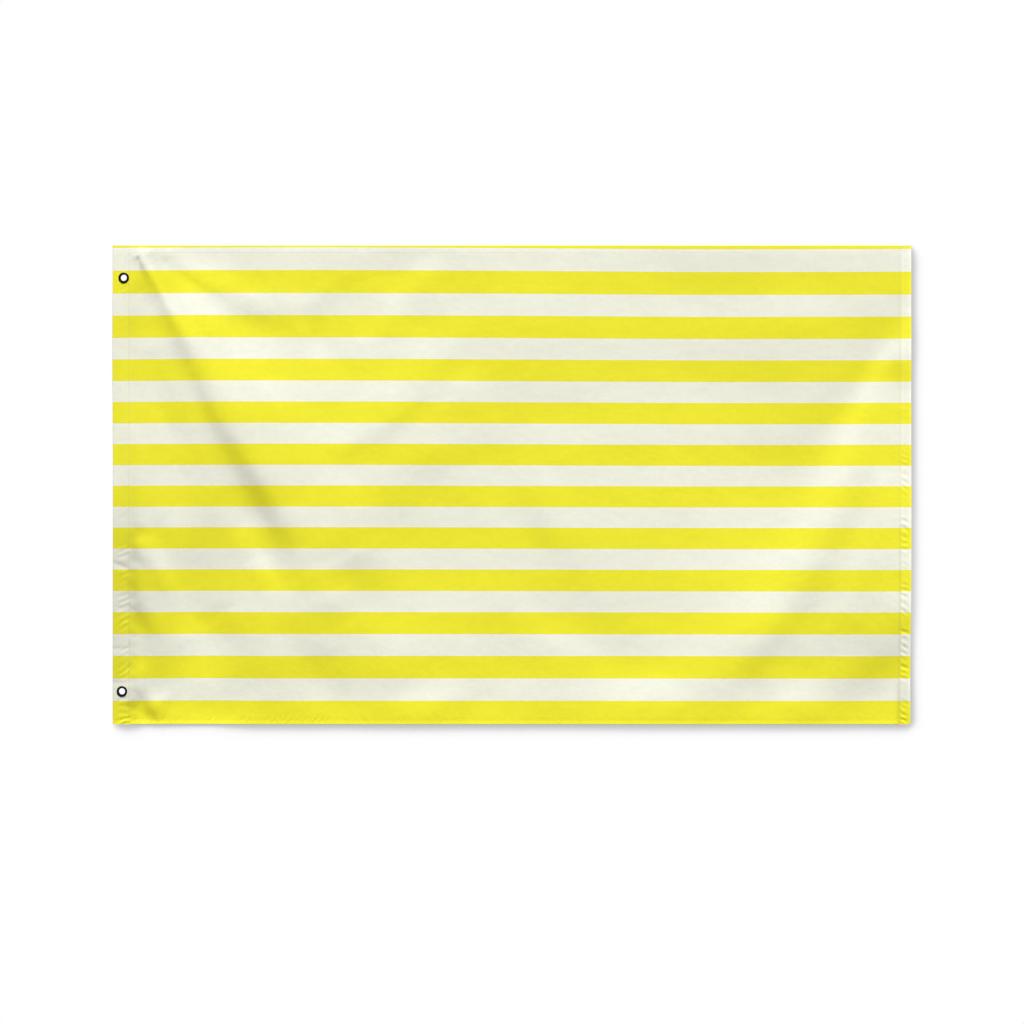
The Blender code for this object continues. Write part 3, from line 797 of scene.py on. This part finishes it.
def cloth_material(name):
    k = Nodes(name)
    uv = k.node("ShaderNodeUVMap", uv_map="flat_mm").outputs[0]
    xyz = k.node("ShaderNodeSeparateXYZ")
    k.put(xyz.inputs[0], uv)
    u, v = xyz.outputs[0], xyz.outputs[1]
    h, w = H / 1000, L / 1000
    # stripes: evenly spaced in the middle, a little wider towards the top and bottom
    bleed = k.math("SUBTRACT", k.noise(uv, 700, 3, 0.6), 0.5)
    t = k.math("MULTIPLY_ADD", v, 25.1737, -11.5577)
    t = k.math("MULTIPLY_ADD", bleed, 0.012, t)
    t3 = k.math("POWER", k.math("ABSOLUTE", t), 3.0)
    t5 = k.math("POWER", k.math("ABSOLUTE", t), 5.0)
    bend = k.math("MULTIPLY_ADD", t5, 3.45e-7, k.math("MULTIPLY", t3, -0.000339))
    q = k.math("MULTIPLY_ADD", k.math("SIGN", t), bend, t)
    wave = k.math("SINE", k.math("MULTIPLY", q, math.pi))
    yellow = k.math("MULTIPLY_ADD", wave, 16.0, 0.98, clamp=True)
    # where two inks meet, the yellow runs denser and the cream thinner, over a millimetre or so
    dense = k.math("MULTIPLY", k.ramp(wave, 0.20, 0.05), 0.62)
    thin = k.math("MULTIPLY", k.ramp(wave, -0.25, -0.12), 0.75)
    # yarns: the ink takes unevenly on them
    yarn_u = k.math("SINE", k.math("MULTIPLY", u, 2 * math.pi / 0.00062))
    yarn_v = k.math("SINE", k.math("MULTIPLY", v, 2 * math.pi / 0.00054))
    knit = k.math("MULTIPLY", yarn_u, yarn_v)
    fine = k.noise(uv, 1500, 2, 0.5)
    cloud = k.noise(uv, 24, 5, 0.62)
    cloud2 = k.noise(uv, 95, 4, 0.6)
    slub = k.node("ShaderNodeMapping")
    k.put(slub.inputs[0], uv)
    slub.inputs["Scale"].default_value = (1.0, 14.0, 1.0)
    slubs = k.noise(slub.outputs[0], 36, 3, 0.6)
    tone = k.math("MULTIPLY_ADD", cloud, 0.070, 0.965)
    tone = k.math("MULTIPLY_ADD", k.math("SUBTRACT", cloud2, 0.5), 0.085, tone)
    tone = k.math("MULTIPLY_ADD", k.math("SUBTRACT", slubs, 0.5), 0.022, tone)
    tone = k.math("MULTIPLY_ADD", k.math("SUBTRACT", fine, 0.5), 0.07, tone)
    tone = k.math("MULTIPLY_ADD", knit, 0.022, tone)
    # two plies let less light through, so the hems look a shade lighter
    hem = k.math("MAXIMUM", k.ramp(v, 0.0140, 0.0128), k.ramp(v, h - 0.0094, h - 0.0084))
    hem = k.math("MAXIMUM", hem, k.math("MULTIPLY", k.ramp(u, w - 0.0208, w - 0.0200), 0.7))
    tone = k.math("MULTIPLY_ADD", hem, 0.055, tone)
    rim = k.math("MAXIMUM", k.ramp(u, w - 0.0048, w - 0.0032), k.math("MULTIPLY", k.ramp(v, h - 0.0050, h - 0.0040), 0.6))
    tone = k.math("MULTIPLY_ADD", rim, 0.075, tone)
    tone = k.math("MULTIPLY_ADD", k.ramp(u, 0.0310, 0.0285), 0.022, tone)
    # painted shade over the hoist, darkest towards its lower end and mottled by noise
    along = k.math("MULTIPLY_ADD", k.ramp(u, 0.058, 0.036), 0.6, k.math("MULTIPLY", k.ramp(u, 0.140, 0.050), 0.4))
    down = k.math("MULTIPLY_ADD", k.ramp(v, 0.430, 0.590), 0.78, k.math("MULTIPLY", k.ramp(v, 0.08, 0.16), 0.22))
    down = k.math("MULTIPLY", down, k.ramp(v, 0.90, 0.82, 0.62, 1.0))
    hoist_painted_shade = k.math("MULTIPLY", k.math("MULTIPLY", along, down), k.math("MULTIPLY_ADD", cloud2, 0.9, 0.55))
    tone = k.math("MULTIPLY_ADD", hoist_painted_shade, -0.19, tone)
    # painted shade over the fly's lower corner, mottled the same way, while the fly's upper end is made a little
    # lighter
    fly_corner_painted_shade = k.math("MULTIPLY", k.ramp(u, w - 0.034, w - 0.020), k.ramp(v, h - 0.095, h - 0.060))
    tone = k.math("MULTIPLY_ADD", k.math("MULTIPLY", fly_corner_painted_shade, k.math("MULTIPLY_ADD", cloud2, 0.9, 0.55)), -0.11, tone)
    fly_top_lighter = k.math("MULTIPLY", k.ramp(u, w - 0.021, w - 0.014), k.ramp(v, 0.34, 0.22))
    tone = k.math("MULTIPLY_ADD", fly_top_lighter, 0.055, tone)
    # painted shade: a dim line along each row of stitches where the drawn-in cloth lies in shade, deepest along the
    # fly's inner row towards its lower end
    dash = k.math("SINE", k.math("MULTIPLY", k.math("ADD", u, v), 2 * math.pi / 0.0039))
    stitch_line_shade_mask = None
    for axis, place, reach, deep in (
        (u, 0.024, 0.0014, 0.25),
        (u, 0.0314, 0.0032, 0.80),
        (u, w - 0.0215, 0.0046, k.ramp(v, 0.42, 0.62, 0.35, 1.25)),
        (u, w - 0.012, 0.0016, 0.30),
        (v, h - 0.0082, 0.0014, 0.15),
    ):
        d = k.math("ABSOLUTE", k.math("SUBTRACT", axis, place))
        near = k.math("MULTIPLY", k.ramp(d, reach, 0.0003), deep)
        stitch_line_shade_mask = near if stitch_line_shade_mask is None else k.math("MAXIMUM", stitch_line_shade_mask, near)
    stitch_line_painted_shade = k.math("MULTIPLY", stitch_line_shade_mask, k.math("MULTIPLY_ADD", dash, 0.03, 0.075))
    tone = k.math("SUBTRACT", tone, stitch_line_painted_shade)
    cream = k.mix(thin, CREAM, (0.800, 0.802, 0.850, 1))
    gold = k.mix(dense, YELLOW, (0.800, 0.735, 0.004, 1))
    base = k.mix(yellow, cream, gold)
    grey = k.node("ShaderNodeCombineColor")
    for s in grey.inputs[:3]:
        k.put(s, tone)
    colour = k.mix(1.0, base, grey.outputs[0], "MULTIPLY")
    # the print shows through a little paler on the reverse
    back = k.node("ShaderNodeAttribute", attribute_name="reverse").outputs["Fac"]
    paler = k.mix(0.12, colour, (0.86, 0.85, 0.72, 1))
    colour = k.mix(back, colour, paler)
    k.put(k.shader.inputs["Base Color"], colour)
    rough = k.math("MULTIPLY_ADD", cloud2, 0.16, 0.62)
    k.put(k.shader.inputs["Roughness"], rough)
    k.shader.inputs["Specular IOR Level"].default_value = 0.22
    k.shader.inputs["Sheen Weight"].default_value = 0.10
    k.shader.inputs["Sheen Roughness"].default_value = 0.45
    crumple = k.bump(k.noise(uv, 62, 4, 0.55), 0.25, 0.0011)
    thread = k.math("MULTIPLY_ADD", knit, 0.5, k.math("MULTIPLY", fine, 0.6))
    k.put(k.shader.inputs["Normal"], k.bump(thread, 0.35, 0.00007, crumple))
    return k.m


def thread_material(name):
    k = Nodes(name)
    pos = k.node("ShaderNodeTexCoord").outputs["Object"]
    twist = k.node("ShaderNodeTexWave", wave_type="BANDS", bands_direction="DIAGONAL")
    k.put(twist.inputs["Vector"], pos)
    twist.inputs["Scale"].default_value = 900
    twist.inputs["Distortion"].default_value = 1.5
    fuzz = k.noise(pos, 2600, 2, 0.6)
    colour = k.mix(twist.outputs["Fac"], (0.72, 0.68, 0.22, 1), (0.84, 0.80, 0.40, 1))
    # off-white thread along the top hem and yellow along the bottom one, to go with the print
    xyz = k.node("ShaderNodeSeparateXYZ")
    k.put(xyz.inputs[0], pos)
    pale = k.mix(twist.outputs["Fac"], (0.79, 0.79, 0.67, 1), (0.84, 0.84, 0.72, 1))
    gold = k.mix(twist.outputs["Fac"], (0.78, 0.73, 0.03, 1), (0.84, 0.79, 0.06, 1))
    colour = k.mix(k.ramp(xyz.outputs[2], Z1 - 0.030, Z1 - 0.020), colour, pale)
    colour = k.mix(k.ramp(xyz.outputs[2], Z0 + 0.022, Z0 + 0.014), colour, gold)
    k.put(k.shader.inputs["Base Color"], colour)
    k.put(k.shader.inputs["Roughness"], k.math("MULTIPLY_ADD", fuzz, 0.25, 0.40))
    k.shader.inputs["Specular IOR Level"].default_value = 0.4
    k.put(k.shader.inputs["Normal"], k.bump(twist.outputs["Fac"], 0.5, 0.00008))
    return k.m


def webbing_material(name):
    k = Nodes(name)
    uv = k.node("ShaderNodeUVMap", uv_map="flat_mm").outputs[0]
    xyz = k.node("ShaderNodeSeparateXYZ")
    k.put(xyz.inputs[0], uv)
    a = k.math("SINE", k.math("MULTIPLY", k.math("ADD", xyz.outputs[0], xyz.outputs[1]), 2 * math.pi / 0.0016))
    b = k.math("SINE", k.math("MULTIPLY", xyz.outputs[0], 2 * math.pi / 0.0011))
    weave = k.math("MULTIPLY_ADD", a, 0.6, k.math("MULTIPLY", b, 0.4))
    spots = k.noise(uv, 240, 4, 0.6)
    colour = k.mix(k.math("MULTIPLY_ADD", weave, 0.35, 0.5, clamp=True), (0.62, 0.60, 0.52, 1), (0.80, 0.78, 0.70, 1))
    colour = k.mix(k.math("MULTIPLY", spots, 0.3), colour, (0.55, 0.52, 0.45, 1))
    k.put(k.shader.inputs["Base Color"], colour)
    k.put(k.shader.inputs["Roughness"], k.math("MULTIPLY_ADD", spots, 0.15, 0.78))
    k.put(k.shader.inputs["Normal"], k.bump(weave, 0.7, 0.0002))
    return k.m


def eyelet_material(name):
    """Black enamel, thin and a little rubbed where a clip runs in the hole."""
    k = Nodes(name)
    pos = k.node("ShaderNodeTexCoord").outputs["Object"]
    xyz = k.node("ShaderNodeSeparateXYZ")
    k.put(xyz.inputs[0], pos)
    radius = k.math("SQRT", k.math("ADD", k.math("POWER", xyz.outputs[0], 2.0), k.math("POWER", xyz.outputs[2], 2.0)))
    bore = k.ramp(radius, 0.00630, 0.00600)
    rub = k.noise(pos, 1400, 5, 0.65)
    worn = k.math("MULTIPLY", k.ramp(rub, 0.56, 0.66), bore)
    worn = k.math("MULTIPLY", worn, 0.3)
    peel = k.noise(pos, 5200, 3, 0.6)
    colour = k.mix(rub, (0.002, 0.002, 0.0025, 1), (0.008, 0.008, 0.009, 1))
    colour = k.mix(worn, colour, (0.42, 0.31, 0.12, 1))
    k.put(k.shader.inputs["Base Color"], colour)
    k.put(k.shader.inputs["Metallic"], worn)
    k.put(k.shader.inputs["Roughness"], k.math("MULTIPLY_ADD", rub, 0.26, 0.30))
    k.shader.inputs["Specular IOR Level"].default_value = 0.18
    k.put(k.shader.inputs["Normal"], k.bump(peel, 0.25, 0.00004))
    return k.m


cloth_look = cloth_material("printed_polyester")
thread_look = thread_material("polyester_thread")
webbing_look = webbing_material("cotton_webbing")
eyelet_look = eyelet_material("black_enamel")


def dress(obj, look):
    obj.data.materials.clear()
    obj.data.materials.append(look)


for o in cloth + [fly, heading]:
    dress(o, cloth_look)
dress(tape, webbing_look)
for o in hem_stitches + [heading_stitches, fly_stitches]:
    dress(o, thread_look)
for o in eyelets + washers:
    dress(o, eyelet_look)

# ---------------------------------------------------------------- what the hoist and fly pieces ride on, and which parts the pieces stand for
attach(heading, "hoist_end")
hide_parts("heading_sleeve")
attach(tape, "hoist_end")
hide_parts("heading_tape")
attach(heading_stitches, "hoist_end")
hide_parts("heading_thread_1", "heading_thread_2")
for which, e, w_ in zip(("upper", "lower"), eyelets, washers):
    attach(e, "hoist_end")
    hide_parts(f"{which}_eyelet")
    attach(w_, "hoist_end")
    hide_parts(f"{which}_eyelet_washer")
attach(fly, "fly_end")
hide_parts("fly_hem")
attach(fly_stitches, "fly_end")
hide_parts("fly_hem_thread_1", "fly_hem_thread_2")
REACH = [74.0, 118.0, 118.0, 118.0]                  # half length of a bend about each hinge, mm; here it only sets the ends a and b, which nothing uses
z_mid = (Z0 + Z1) / 2
stood = [(0, 1), (2,), (3,), (4,)]
for i in range(4):
    hinge, reach = X0 + HINGES[i] / 1000, REACH[i] / 1000
    a, b = Vector((hinge - reach, 0, z_mid)), Vector((hinge + reach, 0, z_mid))
    for o, nodes in (
        (cloth[i], [f"cloth_{n}" for n in stood[i]]),
        (hem_stitches[i], [f"{e}_hem_thread_{n}" for n in stood[i] for e in ("top", "bottom")]),
    ):
        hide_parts(*nodes)
        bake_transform(o)

# ---------------------------------------------------------------- stage
CAM_X = X0 + 0.76195
CAM_Z = Z1 - 0.50879
PER_PIXEL = 1.9088e-3
DISTANCE = 5.0


def stage_material(name):
    m = bpy.data.materials.new(name)
    m.use_nodes = True
    m.node_tree.nodes.clear()
    return m, m.node_tree


# a pale round floor whose rim melts into the pale surround
bpy.ops.mesh.primitive_circle_add(vertices=96, radius=2.4, fill_type="NGON", location=((X0 + X1) / 2, 0, Z0 - 1.10))
floor = bpy.context.object
floor.name = "pale_floor"
m, t = stage_material("pale_floor")
out = t.nodes.new("ShaderNodeOutputMaterial")
mixer = t.nodes.new("ShaderNodeMixShader")
clear_ = t.nodes.new("ShaderNodeBsdfTransparent")
body = t.nodes.new("ShaderNodeBsdfDiffuse")
body.inputs[0].default_value = (0.86, 0.86, 0.85, 1)
coord = t.nodes.new("ShaderNodeTexCoord")
far = t.nodes.new("ShaderNodeVectorMath")
far.operation = "LENGTH"
fade = t.nodes.new("ShaderNodeMapRange")
fade.interpolation_type = "SMOOTHSTEP"
fade.inputs[1].default_value, fade.inputs[2].default_value = 1.2, 2.35
t.links.new(coord.outputs["Object"], far.inputs[0])
t.links.new(far.outputs["Value"], fade.inputs[0])
t.links.new(fade.outputs[0], mixer.inputs[0])
t.links.new(body.outputs[0], mixer.inputs[1])
t.links.new(clear_.outputs[0], mixer.inputs[2])
t.links.new(mixer.outputs[0], out.inputs[0])
floor.data.materials.append(m)
floor.visible_diffuse = floor.visible_glossy = False

# a clear pane close behind the flag with a painted soft shadow on it, falling right and down: its grey comes from
# ambient occlusion towards the upper left, not from the lamps
mesh = bpy.data.meshes.new("painted_shadow_pane")
px0, px1, pz0, pz1, py = X0 - 0.05, X1 + 0.09, Z0 - 0.09, Z1 + 0.05, 0.0112
inner_x, inner_z = X1 - 0.003, Z0 + 0.0015
mesh.from_pydata(
    [(px0, py, pz0), (px1, py, pz0), (px1, py, pz1), (inner_x, py, pz1), (inner_x, py, inner_z), (px0, py, inner_z)],
    [],
    [(0, 1, 4, 5), (1, 2, 3, 4)],
)
pane = bpy.data.objects.new("painted_shadow_pane", mesh)
bpy.context.scene.collection.objects.link(pane)
m, t = stage_material("painted_shadow_pane")
out = t.nodes.new("ShaderNodeOutputMaterial")
pass_ = t.nodes.new("ShaderNodeBsdfTransparent")
ao = t.nodes.new("ShaderNodeAmbientOcclusion")
ao.samples = 24
ao.inputs["Distance"].default_value = 0.045
towards = Vector((-0.62, -0.62, 0.62)).normalized()
shade = t.nodes.new("ShaderNodeValToRGB")
stops = [(0.58, 0.545), (0.652, 0.590), (0.745, 0.675), (0.789, 0.735), (0.821, 0.795), (0.847, 0.847), (0.868, 0.896), (0.888, 0.939), (0.902, 0.970), (0.918, 1.0)]
while len(shade.color_ramp.elements) < len(stops):
    shade.color_ramp.elements.new(1.0)
for element, (place, tint) in zip(shade.color_ramp.elements, stops):
    element.position = place
for element, (place, tint) in zip(shade.color_ramp.elements, stops):
    element.color = (tint, tint, tint, 1)
# the painted shadow is a little deeper below the flag than beside it
where = t.nodes.new("ShaderNodeTexCoord")
split = t.nodes.new("ShaderNodeSeparateXYZ")
below = t.nodes.new("ShaderNodeMapRange")
below.inputs[1].default_value, below.inputs[2].default_value = Z0 + 0.012, Z0 - 0.002
below.inputs[3].default_value, below.inputs[4].default_value = 1.0, 1.16
deeper = t.nodes.new("ShaderNodeMath")
deeper.operation = "MULTIPLY"
lost = t.nodes.new("ShaderNodeMath")
lost.operation = "SUBTRACT"
lost.inputs[0].default_value = 1.0
left = t.nodes.new("ShaderNodeMath")
left.operation = "SUBTRACT"
left.inputs[0].default_value = 1.0
geo = t.nodes.new("ShaderNodeNewGeometry")
both = t.nodes.new("ShaderNodeMath")
both.operation = "MAXIMUM"
normal = t.nodes.new("ShaderNodeCombineXYZ")
for s, c in zip(normal.inputs, towards):
    s.default_value = c
t.links.new(normal.outputs[0], ao.inputs["Normal"])
t.links.new(where.outputs["Object"], split.inputs[0])
t.links.new(split.outputs[2], below.inputs[0])
t.links.new(ao.outputs["AO"], lost.inputs[1])
t.links.new(lost.outputs[0], deeper.inputs[0])
t.links.new(below.outputs[0], deeper.inputs[1])
t.links.new(deeper.outputs[0], left.inputs[1])
t.links.new(left.outputs[0], shade.inputs[0])
t.links.new(shade.outputs[0], both.inputs[0])
t.links.new(geo.outputs["Backfacing"], both.inputs[1])
t.links.new(both.outputs[0], pass_.inputs[0])
t.links.new(pass_.outputs[0], out.inputs[0])
mesh.materials.append(m)
pane.visible_diffuse = pane.visible_glossy = pane.visible_transmission = pane.visible_shadow = False

world = bpy.data.worlds.new("studio")
bpy.context.scene.world = world
world.use_nodes = True
t = world.node_tree
t.nodes.clear()
out = t.nodes.new("ShaderNodeOutputWorld")
mixer = t.nodes.new("ShaderNodeMixShader")
seen = t.nodes.new("ShaderNodeBackground")
fill = t.nodes.new("ShaderNodeBackground")
path = t.nodes.new("ShaderNodeLightPath")
seen.inputs[0].default_value, seen.inputs[1].default_value = (1, 1, 1, 1), 1.0
fill.inputs[0].default_value, fill.inputs[1].default_value = (1, 1, 1, 1), 0.18
t.links.new(path.outputs["Is Camera Ray"], mixer.inputs[0])
t.links.new(fill.outputs[0], mixer.inputs[1])
t.links.new(seen.outputs[0], mixer.inputs[2])
t.links.new(mixer.outputs[0], out.inputs[0])


def sun(name, towards_, strength, angle):
    data = bpy.data.lights.new(name, "SUN")
    data.energy, data.angle = strength, math.radians(angle)
    made = bpy.data.objects.new(name, data)
    made.rotation_mode = "QUATERNION"
    made.rotation_quaternion = Vector(towards_).to_track_quat("Z", "Y")
    made.location = Vector(towards_) * 4
    bpy.context.scene.collection.objects.link(made)
    return made


sun("key_overhead", (0.09, -0.38, 0.92), 7.25, 14)
sun("back_fill", (-0.35, 0.80, 0.45), 3.4, 30)

camera_data = bpy.data.cameras.new("camera")
camera_data.sensor_width = 36
camera_data.lens = 36 * DISTANCE / (1024 * PER_PIXEL)
camera_data.clip_start, camera_data.clip_end = 0.1, 100
camera = bpy.data.objects.new("camera", camera_data)
camera.location = (CAM_X, -DISTANCE, CAM_Z)
camera.rotation_euler = (math.pi / 2, 0, 0)
bpy.context.scene.collection.objects.link(camera)
bpy.context.scene.camera = camera
bpy.context.scene.view_settings.view_transform = "Standard"
